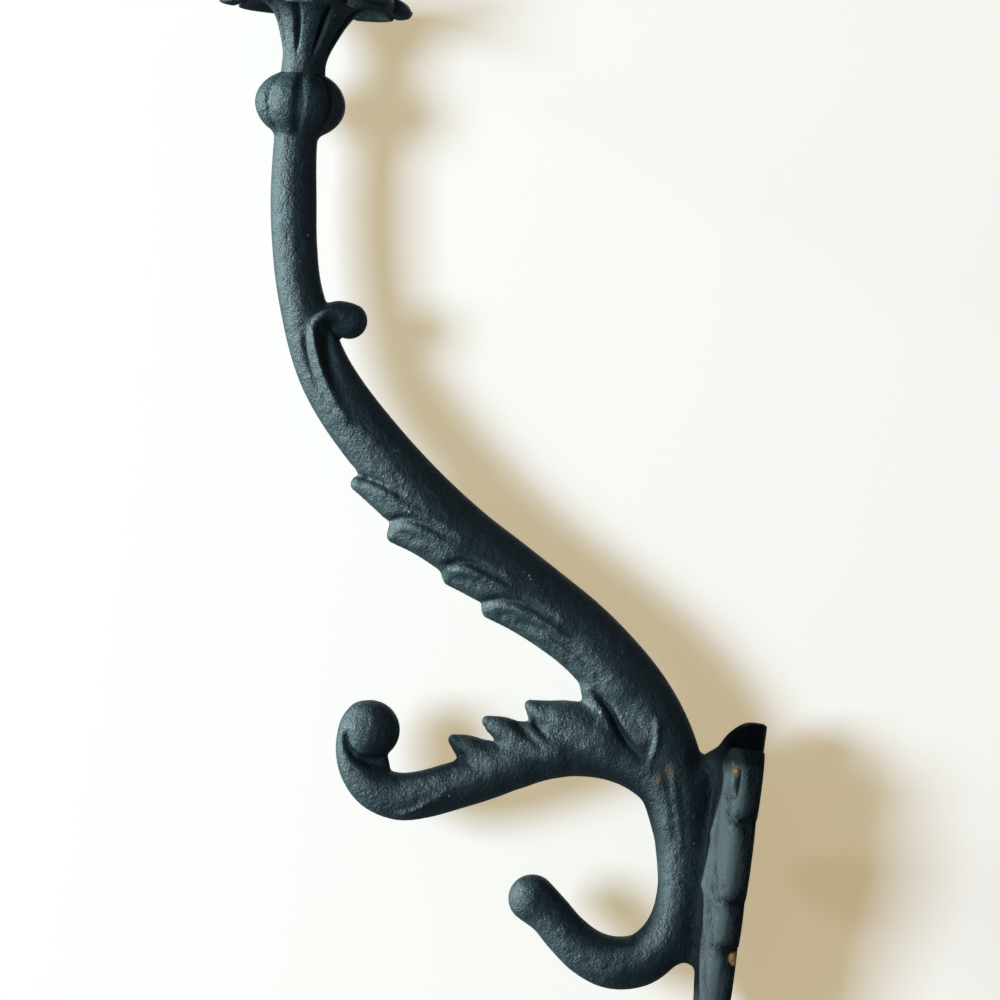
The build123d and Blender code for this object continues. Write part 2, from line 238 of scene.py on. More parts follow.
def petal_shrink(radial, angle):
    """How much the flower's radius shrinks at an angle: most at the notches between petals, and
    only out towards the rim."""
    turn = np.abs((angle * GADROONS / (2 * np.pi)) % 1 - 0.5)
    petal = 0.15 * (1 - np.minimum(2 * turn, 1) ** 0.5)
    spread = np.clip((radial - 6) / (PETAL_REACH - 6), 0, 1)
    return 1 - petal * spread ** 2


# ---- back plate ---------------------------------------------------------------------------------

def arc(start, way, end, count=9):
    """Points on the circle through three points, from the first to the last."""
    a, b, c = (complex(*p) for p in (start, way, end))
    w = (c - a) / (b - a)
    centre = (b - a) * (w - abs(w) ** 2) / (2j * w.imag) + a
    first = np.angle(a - centre)
    sweep = np.angle((c - centre) / (a - centre))
    through = np.angle((b - centre) / (a - centre))
    if sweep * through < 0 or abs(through) > abs(sweep):
        sweep -= np.sign(sweep) * 2 * np.pi
    turned = centre + abs(a - centre) * np.exp(1j * (first + sweep * np.linspace(0, 1, count)[:-1]))
    return np.stack([turned.real, turned.imag], 1)


# each side lobe swells down to its tip, then turns back to the notch where the next one starts
LEAF_ARCS = [
    ((0.25, 1.0), (0.262, 0.92), (0.29, 0.845)), ((0.29, 0.845), (0.76, 0.80), (0.955, 0.57)),
    ((0.955, 0.57), (0.87, 0.475), (0.70, 0.47)), ((0.70, 0.47), (0.955, 0.32), (1.0, 0.095)),
    ((1.0, 0.095), (0.88, 0.01), (0.67, 0.02)), ((0.67, 0.02), (0.87, -0.045), (0.915, -0.15)),
    ((0.915, -0.15), (0.80, -0.20), (0.62, -0.195)), ((0.62, -0.195), (0.80, -0.30), (0.79, -0.455)),
    ((0.79, -0.455), (0.68, -0.505), (0.50, -0.50)), ((0.50, -0.50), (0.625, -0.59), (0.58, -0.715)),
    ((0.58, -0.715), (0.48, -0.76), (0.34, -0.76)), ((0.34, -0.76), (0.31, -0.90), (0.0, -1.0)),
]


def leaf_place(share):
    """Millimetres from shares of the half width and of the height above or below the origin."""
    return share[0] * PLATE_HALF, share[1] * (PLATE_TOP if share[1] > 0 else PLATE_DROP)


def leaf_edge():
    """The arcs of one half of the leaf, from the nib down to the tail."""
    return np.vstack([arc(*[leaf_place(share) for share in row]) for row in LEAF_ARCS])


def leaf_outline():
    """Half the leaf's outline in the wall plane, closed well past the middle line."""
    past = -30.0
    return np.vstack([[(past, PLATE_TOP)], leaf_edge(), [(0.0, -PLATE_DROP), (past, -PLATE_DROP)]])


def crown_at(up):
    """Thickness along the plate's middle: full beside the arms, rounded down to the nib, and
    thinning evenly to the tail."""
    fall, nib = 8.6, 4.6
    share = np.clip((up - (PLATE_TOP - fall)) / fall, 0, 1)
    top = CROWN - (CROWN - nib) * share ** 2.4
    return np.where(up > 0, top, CROWN + (CROWN - TAIL_CROWN) * up / PLATE_DROP)


def arch_at(side, up):
    """Height of the plate's front: the crown at the middle, falling to the rim as the distance from
    the middle to the power 1.35."""
    return crown_at(up) - (CROWN - RIM) * (np.abs(side) / PLATE_HALF) ** 1.35


# grooves of the plate's leaf, from each notch up beside the midrib, and the vein of each lobe
PLATE_GROOVES = [smooth(rows) for rows in (
    [(15.6, 18.6), (12.2, 22.0), (9.4, 27.0), (7.8, 33.0)],
    [(14.8, 0.8), (11.0, 5.0), (8.8, 12.0), (7.6, 20.0), (7.0, 27.0)],
    [(13.6, -9.8), (10.4, -5.0), (8.0, 3.0), (6.8, 12.0)],
    [(10.9, -25.0), (8.6, -19.0), (6.8, -10.0), (5.8, 0.0)],
    [(7.4, -38.0), (5.4, -31.0), (4.2, -22.0), (3.6, -12.0)],
)]
PLATE_VEINS = [smooth(rows) for rows in (
    [(19.0, 4.6), (16.4, 9.0), (13.0, 15.5), (11.0, 22.0)],
    [(17.8, -6.6), (14.6, -3.0), (11.4, 3.0), (9.8, 9.0)],
    [(15.4, -22.0), (12.8, -16.0), (9.8, -7.0), (8.2, 1.0)],
    [(11.2, -35.0), (8.8, -29.0), (6.2, -19.0), (5.2, -11.0)],
)]


def plate_distance(points):
    """The domed leaf: an arched front with grooves, cut to the leaf's outline and a flat back."""
    side, out, up = np.abs(points[:, 0]), points[:, 1], points[:, 2]
    face = np.stack([side, up], 1)
    front = arch_at(side, up)
    edge = inside_outline(face, leaf_outline())
    front = front + 0.8 * np.exp(-((edge + 1.7) / 1.2) ** 2) * np.clip((33 - up) / 4, 0, 1)
    hole_side, hole_up = SCREWS[1]
    pad = np.exp(-(np.hypot(side - hole_side, up - hole_up) / PAD_RADIUS) ** 4)
    front = front + pad * (PAD_HEIGHT + PAD_TILT * (hole_side - side) - front)
    for groove in PLATE_GROOVES:
        gap, share, _ = nearest(face, groove)
        front = front - 1.5 * np.exp(-(gap / 1.0) ** 2) * np.clip(1.25 - share, 0, 1)
        front = front + 0.7 * np.exp(-((gap - 2.2) / 1.1) ** 2) * np.clip(1.25 - share, 0, 1)
    for vein in PLATE_VEINS:
        gap, share, _ = nearest(face, vein)
        front = front - 0.55 * np.exp(-(gap / 0.7) ** 2) * np.sin(np.pi * np.clip(share, 0.05, 1))
    body = carve((out - front) * 0.92, edge, 0.9)
    return carve(body, -out, 0.5)


# ---- creases and ridges -------------------------------------------------------------------------

# (route in the middle plane, half width, depth); a negative depth raises a ridge
CREASES = [
    ([(39.2, 41.0), (36.0, 38.6), (33.6, 35.0), (31.2, 32.0), (28.6, 29.6), (26.0, 26.8)], 0.8, 2.1),
    ([(98.6, 81.9), (95.0, 81.3), (91.0, 80.0), (86.0, 77.6)], 0.6, 1.1),
    ([(90.4, 73.2), (86.0, 74.0), (80.0, 72.6), (74.0, 70.2)], 0.8, 1.2),
    ([(76.8, 64.9), (72.0, 66.0), (66.0, 64.6), (60.0, 61.8)], 0.75, 1.3),
    ([(67.2, 58.1), (62.0, 59.2), (56.0, 58.2), (50.0, 55.6), (45.0, 52.0)], 0.8, 1.2),
    ([(60.0, 54.4), (54.0, 53.6), (47.0, 50.8), (41.0, 47.0), (35.0, 41.0)], 0.8, 0.7),
    ([(56.6, 31.9), (54.2, 30.6), (51.4, 28.6), (48.4, 26.6)], 0.8, 0.9),
    ([(97.6, 79.9), (93.0, 79.0), (88.0, 76.6), (83.0, 73.8)], 0.9, -0.5),
    ([(89.6, 71.2), (85.0, 71.7), (79.0, 70.2), (73.0, 67.6)], 1.0, -0.6),
    ([(75.8, 62.9), (71.0, 63.9), (65.0, 62.4), (59.0, 59.6)], 1.0, -0.6),
    ([(66.2, 56.4), (61.0, 57.1), (55.0, 56.0), (49.0, 53.2)], 1.0, -0.5),
    ([(52.2, 34.0), (51.2, 32.2), (49.6, 30.6), (47.4, 29.0)], 0.6, 0.8),
    ([(67.2, 24.2), (66.0, 22.4), (64.4, 20.6)], 0.6, 0.6),
    ([(62.4, 28.8), (60.2, 27.2), (57.8, 25.0)], 0.6, 0.5),
    ([(21.6, 27.4), (19.6, 21.0), (17.3, 13.4), (16.4, 4.0)], 0.9, 0.3),
    ([(17.8, 25.4), (16.0, 18.6), (14.6, 11.0), (14.4, 3.0)], 0.8, 0.3),
    ([(24.6, 37.4), (24.0, 32.4), (24.8, 28.0), (25.4, 24.0)], 0.8, -0.8),
    ([(79.4, 7.6), (75.6, 9.2), (71.4, 12.2), (67.0, 15.2)], 0.7, -0.8),
    ([(115.2, 112.6), (114.5, 109.0), (112.7, 104.4), (109.8, 99.4), (106.8, 95.8)], 0.7, 0.6),
    ([(110.2, 113.4), (110.3, 110.4), (108.4, 105.6), (105.8, 101.6), (103.2, 98.4)], 1.4, 1.3),
    ([(93.2, 25.0), (92.3, 21.6), (90.2, 19.2), (87.2, 18.4), (84.0, 19.2)], 0.9, 1.3),
]
CREASES = [(smooth(route), width, depth) for route, width, depth in CREASES]


def midrib_height(points):
    """A shallow valley in the middle plane, where the leaf folds along the arm's front and along the
    top of the middle hook."""
    side, out, up = points.T
    arm = (up < 47.0 + 0.725 * (out - 36)) & (up > 38.0 + 0.6 * (out - 44))
    arm_share = np.clip((out - 44) / 6, 0, 1) * np.clip((101 - out) / 4, 0, 1) * arm
    hook = (up > 28.0 - 0.43 * (out - 40)) & (up < 38.4)
    hook_share = np.clip((out - 46) / 4, 0, 1) * np.clip((71 - out) / 4, 0, 1) * hook
    return 0.8 * np.exp(-(side / 0.8) ** 2) * np.maximum(arm_share, hook_share)


def crease_height(points):
    """How far the creases sink the skin: a bell-shaped valley along each route, shallow at its ends."""
    total = np.zeros(len(points))
    flat = points[:, 1:]
    for route, width, depth in CREASES:
        gap, share, _ = nearest(flat, route)
        ends = np.clip(share * 6 + 0.25, 0, 1) * np.clip((1 - share) * 1.7, 0, 1)
        total += depth * np.exp(-(gap / width) ** 2) * ends
    return total


# ---- the whole casting --------------------------------------------------------------------------

def casting_distance(points):
    """Distance to the casting's skin, negative in the iron: all limbs blended with cast fillets."""
    spine = limb_distance(points, SPINE)
    for lobe in UPPER_LOBES:
        spine = blend(spine, limb_distance(points, lobe), 2.2)
    spine = blend(spine, limb_distance(points, CURL), 1.0)
    middle = limb_distance(points, MIDDLE)
    for tooth in MIDDLE_TEETH:
        middle = blend(middle, limb_distance(points, tooth), 1.8)
    middle = blend(middle, limb_distance(points, SCROLL_WEB), 1.0)
    middle = blend(middle, limb_distance(points, SCROLL_BALL), 0.8)
    skin = blend(spine, middle, 2.4)
    skin = blend(skin, limb_distance(points, CROTCH), 2.0)
    for web in (HEEL, VALLEY):
        skin = blend(skin, limb_distance(points, web), 2.5)
    near_plate = points[:, 1] < 24
    plate = np.full(len(points), 30.0)
    plate[near_plate] = plate_distance(points[near_plate])
    skin = blend(skin, plate, 3.0)
    high = points[:, 2] > 150
    top = np.full(len(points), 30.0)
    top[high] = ball_distance(points[high])
    skin = blend(skin, top, 1.6)
    return skin + crease_height(points) + midrib_height(points)


# ---- meshes -------------------------------------------------------------------------------------

def grid_faces(rows, columns):
    """Faces of a closed-round grid with its two ends drawn together at poles."""
    row, column = np.meshgrid(np.arange(rows - 1), np.arange(columns), indexing="ij")
    a = row * columns + column
    b = row * columns + (column + 1) % columns
    return np.stack([a, b, b + columns, a + columns], -1).reshape(-1, 4)


def limb_grid(route, around=28):
    """The rough skin of a limb: an oval ring at each place of the route, and two half-round ends."""
    heading = np.gradient(route[:, :2], axis=0)
    heading /= np.linalg.norm(heading, axis=1, keepdims=True) + 1e-9
    cap = np.radians([85, 65, 40, 20])
    first, last = route[0], route[-1]
    rows, headings = [], []
    for angle in cap:
        row = first * 1.0
        row[:2] = first[:2] - heading[0] * first[2] * np.sin(angle)
        row[2:] = first[2:] * np.cos(angle)
        rows.append(row)
        headings.append(heading[0])
    rows += list(route)
    headings += list(heading)
    for angle in cap[::-1]:
        row = last * 1.0
        row[:2] = last[:2] + heading[-1] * last[2] * np.sin(angle)
        row[2:] = last[2:] * np.cos(angle)
        rows.append(row)
        headings.append(heading[-1])
    rows, headings = np.array(rows), np.array(headings)
    turn = np.linspace(0, 2 * np.pi, around, endpoint=False)
    normal = np.stack([-headings[:, 1], headings[:, 0]], 1)
    side = rows[:, 3, None] * np.sin(turn)
    out = rows[:, 0, None] + rows[:, 2, None] * np.cos(turn) * normal[:, 0, None]
    up = rows[:, 1, None] + rows[:, 2, None] * np.cos(turn) * normal[:, 1, None]
    points = np.stack([side, out, up], -1).reshape(-1, 3)
    return points, grid_faces(len(rows), around)


def place_turned(radius, angle, height, shift=0.0):
    """Points at a radius, an angle and a height about the leaning axis of the ball and the flower."""
    side = radius * np.cos(angle)
    across = radius * np.sin(angle) - shift
    out = FINIAL_FOOT[0] + across * np.cos(FINIAL_LEAN) + height * np.sin(FINIAL_LEAN)
    up = FINIAL_FOOT[1] + height * np.cos(FINIAL_LEAN) - across * np.sin(FINIAL_LEAN)
    return np.stack([side, out, up], -1).reshape(-1, 3)


def ball_grid(around=64, rings=24):
    """The rough skin of the ball: half an ellipse turned about the leaning axis."""
    lift = np.linspace(-np.pi / 2 + 0.02, np.pi / 2 - 0.02, rings)[:, None]
    turn = np.linspace(0, 2 * np.pi, around, endpoint=False)[None, :]
    radius = BALL_HALF[0] * np.cos(lift) + 0 * turn
    height = BALL_HALF[1] * np.sin(lift) + 0 * turn
    return place_turned(radius, turn + 0 * lift, height), grid_faces(rings, around)


def flower_grid(around=192):
    """A trumpet turned about the leaning axis. Its radius is the profile's times a petal factor,
    which falls at eight notches. Flutes sink the underside from each notch down to the neck, and
    on top each petal is cupped between raised edges, round a low button."""
    under = FLOWER_SIDE[:FLOWER_RIM + 1]
    top = FLOWER_SIDE[FLOWER_RIM + 1:]
    rows = np.vstack([[(0.02, 5.0)], under, top, [(0.02, 25.6)]])
    turn = np.linspace(0, 2 * np.pi, around, endpoint=False)[None, :]
    notch = np.abs((turn * GADROONS / (2 * np.pi)) % 1 - 0.5)    # 0 at a notch, 0.5 in mid petal
    radius = rows[:, 0, None] + 0 * turn
    height = rows[:, 1, None] + 0 * turn
    below = (np.arange(len(rows)) <= FLOWER_RIM + 1)[:, None]
    spread = np.clip((radius - 6) / (PETAL_REACH - 6), 0, 1)
    groove = np.exp(-(notch / (0.12 - 0.055 * spread)) ** 2)
    middle = np.exp(-((0.5 - notch) / 0.05) ** 2)
    rise = np.clip((height - 10.5) / 6, 0, 1) * below
    radius = radius * petal_shrink(radius, turn)
    radius = radius - 1.9 * groove * rise * (1 - spread)
    height = height + 1.0 * groove * spread * below * np.clip((24 - height) / 2, 0, 1)
    cup = np.sin(np.pi * np.clip(2 * notch, 0, 1) / 2)
    height = height - (1 - below) * spread * (0.9 * cup + 0.5 * middle)
    shift = FLOWER_SHIFT * np.clip((height - 9) / 14, 0, 1)
    return place_turned(radius, turn + 0 * radius, height, shift), grid_faces(len(rows), around)


def plate_grid():
    """The rough skin of the plate: the leaf outline as two layers, each fanned to its middle line."""
    half = np.vstack([[(0.001, PLATE_TOP)], leaf_edge(), [(0.0, -PLATE_DROP)]])
    shares = np.linspace(-1, 1, 33)
    side = half[:, 0, None] * shares
    up = np.repeat(half[:, 1, None], len(shares), 1)
    front = np.maximum(arch_at(side, up), 0.8)
    layers = [np.stack([side, front, up], -1), np.stack([side, front * 0, up], -1)]
    rows, columns = side.shape
    loop = np.concatenate([layers[0], layers[1][:, ::-1]], axis=1)
    return loop.reshape(-1, 3), grid_faces(rows, 2 * columns)


def make_mesh(name, parts):
    """One Blender object from (points, faces) parts given in (side, out, up) millimetres."""
    count = 0
    points, faces = [], []
    for part_points, part_faces in parts:
        points.append(part_points)
        faces.append(part_faces + count)
        count += len(part_points)
    points = np.vstack(points)
    world = np.stack([points[:, 0], -points[:, 1], points[:, 2]], 1) * MM
    mesh = bpy.data.meshes.new(name)
    mesh.from_pydata(world.tolist(), [], np.vstack(faces).tolist())
    mesh.validate()
    obj = bpy.data.objects.new(name, mesh)
    bpy.context.scene.collection.objects.link(obj)
    return obj


def rough_casting():
    """All limbs, the ball and the plate as plain overlapping skins, ready to be made one."""
    limbs = [SPINE, CURL, MIDDLE, SCROLL_BALL, SCROLL_WEB, CROTCH, HEEL, VALLEY, *UPPER_LOBES,
             *MIDDLE_TEETH]
    return make_mesh("rough", [*map(limb_grid, limbs), ball_grid(), plate_grid()])


def modified(obj, kind, **settings):
    """Apply one modifier and keep the result as the object's mesh."""
    modifier = obj.modifiers.new(kind.lower(), kind)
    for key, value in settings.items():
        setattr(modifier, key, value)
    depsgraph = bpy.context.evaluated_depsgraph_get()
    mesh = bpy.data.meshes.new_from_object(obj.evaluated_get(depsgraph))
    obj.modifiers.clear()
    old = obj.data
    obj.data = mesh
    bpy.data.meshes.remove(old)
    return obj


def read_points(mesh):
    """A mesh's points as (side, out, up) in millimetres."""
    flat = np.empty(len(mesh.vertices) * 3)
    mesh.vertices.foreach_get("co", flat)
    world = flat.reshape(-1, 3) / MM
    return np.stack([world[:, 0], -world[:, 1], world[:, 2]], 1)


def write_points(mesh, points):
    """Move a mesh's points to (side, out, up) in millimetres."""
    world = np.stack([points[:, 0], -points[:, 1], points[:, 2]], 1) * MM
    mesh.vertices.foreach_set("co", world.ravel())
    mesh.update()


def read_normals(mesh):
    """The direction that the skin faces at each point, as (side, out, up)."""
    flat = np.empty(len(mesh.vertices) * 3)
    mesh.vertex_normals.foreach_get("vector", flat)
    world = flat.reshape(-1, 3)
    return np.stack([world[:, 0], -world[:, 1], world[:, 2]], 1)


def relax(points, edges, amount):
    """Move each point part of the way to the mean of its neighbours."""
    total = np.zeros_like(points)
    count = np.zeros(len(points))
    for a, b in ((0, 1), (1, 0)):
        np.add.at(total, edges[:, a], points[edges[:, b]])
        np.add.at(count, edges[:, a], 1)
    return points + amount * (total / count[:, None] - points)


def settle(mesh, rounds, relaxing):
    """Slide every point along its normal onto the blended skin, evening the net out in between."""
    edges = np.empty(len(mesh.edges) * 2, int)
    mesh.edges.foreach_get("vertices", edges)
    edges = edges.reshape(-1, 2)
    for step in range(rounds):
        points = read_points(mesh)
        normals = read_normals(mesh)
        off = np.clip(casting_distance(points), -1.2, 1.2)
        points -= normals * off[:, None] * 0.9
        if step in relaxing:
            points = relax(points, edges, 0.5)
        points[:, 1] = np.where(points[:, 1] < 0.12, 0.0, points[:, 1])
        write_points(mesh, points)


def closed_outwards(mesh):
    """A mesh opened for editing, with its holes closed and its faces turned outwards."""
    work = bmesh.new()
    work.from_mesh(mesh)
    bmesh.ops.holes_fill(work, edges=work.edges, sides=0)
    bmesh.ops.recalc_face_normals(work, faces=work.faces)
    return work


def join_into(obj, other):
    """Add another object's mesh, with its faces turned outwards, to an object's own."""
    work = closed_outwards(other.data)
    work.from_mesh(obj.data)
    work.to_mesh(obj.data)
    work.free()
    bpy.data.objects.remove(other)


def screw_cutter(side, up):
    """The countersunk hole of one screw: a profile turned about an axis square to the wall."""
    axis, around = 0.01, 48
    mouth = (PAD_HEIGHT if side else crown_at(np.array(up))) - 0.6
    rings = np.array([(axis, -2.0), (SCREW_RADIUS, -2.0), (SCREW_RADIUS, mouth - 2.4),
                      (SINK_RADIUS, mouth), (SINK_RADIUS, 14.0), (axis, 14.0)])
    turn = np.linspace(0, 2 * np.pi, around, endpoint=False)
    radius = rings[:, 0, None]
    points = np.stack([side + radius * np.cos(turn), rings[:, 1, None] + 0 * turn,
                       up + radius * np.sin(turn)], -1).reshape(-1, 3)
    obj = make_mesh("cutter", [(points, grid_faces(len(rings), around))])
    work = closed_outwards(obj.data)
    work.to_mesh(obj.data)
    work.free()
    return obj


def cast_skin():
    """The finished skin: one even net over all limbs, settled, drilled, and the flower joined on."""
    obj = rough_casting()
    modified(obj, "REMESH", mode="VOXEL", voxel_size=VOXEL * MM)
    settle(obj.data, 8, (1, 3, 5))
    for side, up in SCREWS:
        cutter = screw_cutter(side, up)
        modified(obj, "BOOLEAN", operation="DIFFERENCE", object=cutter, solver="EXACT")
        bpy.data.objects.remove(cutter)
    join_into(obj, make_mesh("flower", [flower_grid()]))
    obj.data.polygons.foreach_set("use_smooth", np.ones(len(obj.data.polygons), bool))
    obj.name = "cast_hook"
    obj.data.name = "cast_hook"
    return obj


# ---- finish -------------------------------------------------------------------------------------

def node(tree, kind, **values):
    """One shader node, with its sockets or its settings given by name."""
    made = tree.nodes.new(kind)
    for key, value in values.items():
        if key in made.inputs:
            made.inputs[key].default_value = value
        else:
            setattr(made, key, value)
    return made


def near_spot(tree, coords, place, radius, soft):
    """1 at a spot on the casting and 0 away from it. The place is (side, out, up) in millimetres."""
    away = node(tree, "ShaderNodeVectorMath", operation="DISTANCE")
    away.inputs[1].default_value = (place[0] * MM, -place[1] * MM, place[2] * MM)
    tree.links.new(coords, away.inputs[0])
    fall = node(tree, "ShaderNodeMapRange")
    fall.inputs["From Min"].default_value = (radius + soft) * MM
    fall.inputs["From Max"].default_value = (radius - soft) * MM
    tree.links.new(away.outputs["Value"], fall.inputs["Value"])
    return fall.outputs["Result"]


def joined(tree, operation, first, second):
    """A sum, product or other pairing of two values, each a number or another node's output."""
    made = node(tree, "ShaderNodeMath", operation=operation)
    for socket, value in zip(made.inputs, (first, second)):
        if isinstance(value, (int, float)):
            socket.default_value = value
        else:
            tree.links.new(value, socket)
    return made.outputs["Value"]


def banded(tree, value, low, high):
    """0 below a band of values, 1 above it, and even in between."""
    made = node(tree, "ShaderNodeMapRange")
    made.inputs["From Min"].default_value = low
    made.inputs["From Max"].default_value = high
    tree.links.new(value, made.inputs["Value"])
    return made.outputs["Result"]


def noise(tree, coords, scale, detail, rough):
    """Cloudy values about 0.5. The scale is in clouds to the metre."""
    made = node(tree, "ShaderNodeTexNoise", Scale=scale, Detail=detail, Roughness=rough)
    tree.links.new(coords, made.inputs["Vector"])
    return made.outputs["Fac"]


def tinted(tree, share, first, second):
    """A mix of two colours, each given by its numbers or by another node's output."""
    made = node(tree, "ShaderNodeMix", data_type="RGBA")
    tree.links.new(share, made.inputs[0])
    for socket, value in ((made.inputs[6], first), (made.inputs[7], second)):
        if isinstance(value, tuple):
            socket.default_value = (*value, 1)
        else:
            tree.links.new(value, socket)
    return made.outputs[2]


# (side, out, up) of bare rusty places, with their radius
RUST = [
    ((6.6, 20.6, 26.4), 1.5), ((6.2, 22.6, 24.2), 0.8), ((10.6, 6.0, 29.0), 1.3),
    ((11.0, 6.0, 23.6), 0.7),
    ((6.0, 14.6, 33.0), 0.9), ((-6.2, 19.0, 20.0), 1.2), ((-16.0, 4.6, 2.0), 1.6),
    ((2.0, 9.6, -33.0), 1.8), ((5.6, 30.2, -20.6), 0.8),
]
CHIP = (15.8, 0.0, -12.6)                   # middle of the chip at the plate's edge
CHIP_RADIUS = 1.8


def painted_iron():
    """Semi-matt dark teal paint over sand-cast iron: fine grain, shallow swells, scuffed high spots,
    pale specks, painted shade towards the wall, on the plate's top and rim and in the screw holes,
    small rusty places and one chip."""
    material = bpy.data.materials.new("painted_iron")
    material.use_nodes = True
    tree = material.node_tree
    shader = tree.nodes["Principled BSDF"]
    coords = node(tree, "ShaderNodeTexCoord").outputs["Object"]
    grain = noise(tree, coords, 1900.0, 3.0, 0.62)
    swell = noise(tree, coords, 330.0, 2.0, 0.5)
    patch = noise(tree, coords, 120.0, 3.0, 0.55)
    speck = noise(tree, coords, 1000.0, 1.0, 0.5)

    paint = tinted(tree, banded(tree, patch, 0.35, 0.68), (0.0095, 0.0205, 0.0220),
                   (0.0150, 0.0300, 0.0315))
    scuff = joined(tree, "MULTIPLY", banded(tree, grain, 0.56, 0.74), 0.6)
    paint = tinted(tree, scuff, paint, (0.055, 0.075, 0.078))
    paint = tinted(tree, banded(tree, speck, 0.775, 0.81), paint, (0.30, 0.32, 0.31))

    place = node(tree, "ShaderNodeSeparateXYZ")
    tree.links.new(coords, place.inputs[0])
    # Painted shade: the paint darkens towards near-black within about 8 to 12 mm of the wall.
    near_wall = banded(tree, place.outputs["Y"], -12.0 * MM, -8.0 * MM)
    paint = tinted(tree, joined(tree, "MULTIPLY", near_wall, 0.6), paint, (0.005, 0.009, 0.010))
    # Painted shade: near-black, less shiny paint on the plate's top above about 30 mm, within about 3
    # to 5 mm of the wall (the back face spared) and in the screw holes.
    rim = joined(tree, "MULTIPLY", banded(tree, place.outputs["Y"], -5.4 * MM, -3.0 * MM), 0.8)
    nib = banded(tree, place.outputs["Z"], 27.5 * MM, 31.0 * MM)
    painted_shade = joined(tree, "MULTIPLY", near_wall, joined(tree, "MAXIMUM", nib, rim))
    off_back = banded(tree, place.outputs["Y"], -0.2 * MM, -0.7 * MM)
    painted_shade = joined(tree, "MULTIPLY", painted_shade, off_back)
    for side, up in SCREWS:
        hole = near_spot(tree, coords, (side, 4.6, up), 4.4, 0.5)
        painted_shade = joined(tree, "MAXIMUM", painted_shade, hole)
    paint = tinted(tree, painted_shade, paint, (0.0025, 0.004, 0.0045))

    rust = None
    for place, radius in RUST:
        spot = near_spot(tree, coords, place, radius, radius * 0.7)
        rust = spot if rust is None else joined(tree, "MAXIMUM", rust, spot)
    mottle = banded(tree, noise(tree, coords, 800.0, 3.0, 0.55), 0.34, 0.62)
    rust = joined(tree, "MULTIPLY", rust, mottle)
    paint = tinted(tree, rust, paint, (0.14, 0.075, 0.036))
    chip = near_spot(tree, coords, CHIP, CHIP_RADIUS, 0.3)
    ragged = banded(tree, noise(tree, coords, 700.0, 2.0, 0.5), 0.32, 0.42)
    paint = tinted(tree, joined(tree, "MULTIPLY", chip, ragged), paint, (0.42, 0.22, 0.075))

    tree.links.new(paint, shader.inputs["Base Color"])
    # Painted shade is also less shiny and rougher; the paint is rougher near the wall and on rust too.
    shine = joined(tree, "SUBTRACT", 0.38, joined(tree, "MULTIPLY", painted_shade, 0.34))
    tree.links.new(shine, shader.inputs["Specular IOR Level"])
    dull = joined(tree, "ADD", 0.52, joined(tree, "MULTIPLY", near_wall, 0.2))
    dull = joined(tree, "ADD", dull, joined(tree, "MULTIPLY", painted_shade, 0.2))
    dull = joined(tree, "ADD", dull, joined(tree, "MULTIPLY", rust, 0.25))
    tree.links.new(dull, shader.inputs["Roughness"])

    along = node(tree, "ShaderNodeMapping", Scale=(1.0, 1.0, 0.1))
    tree.links.new(coords, along.inputs["Vector"])
    streak = noise(tree, along.outputs["Vector"], 1000.0, 2.0, 0.5)
    streak = joined(tree, "MULTIPLY", near_wall, streak)
    height = joined(tree, "MULTIPLY", grain, 0.6)
    height = joined(tree, "ADD", height, joined(tree, "MULTIPLY", swell, 1.3))
    height = joined(tree, "ADD", height, joined(tree, "MULTIPLY", streak, 0.5))
    bump = node(tree, "ShaderNodeBump", Strength=1.0, Distance=0.00055)
    tree.links.new(height, bump.inputs["Height"])
    tree.links.new(bump.outputs["Normal"], shader.inputs["Normal"])
    return material


# ---- stage, light and view ----------------------------------------------------------------------

VIEW_CENTRE = np.array([0, -66.5, 81.0]) * MM
VIEW_ROLL = np.radians(8.15)
VIEW_WIDTH = 225.0 * MM
VIEW_DISTANCE = 1.3
SURFACE_HALF = 0.19                         # half the side of the surface behind the hook
SURFACE_GAP = 0.0004                        # between the surface and the casting's far side


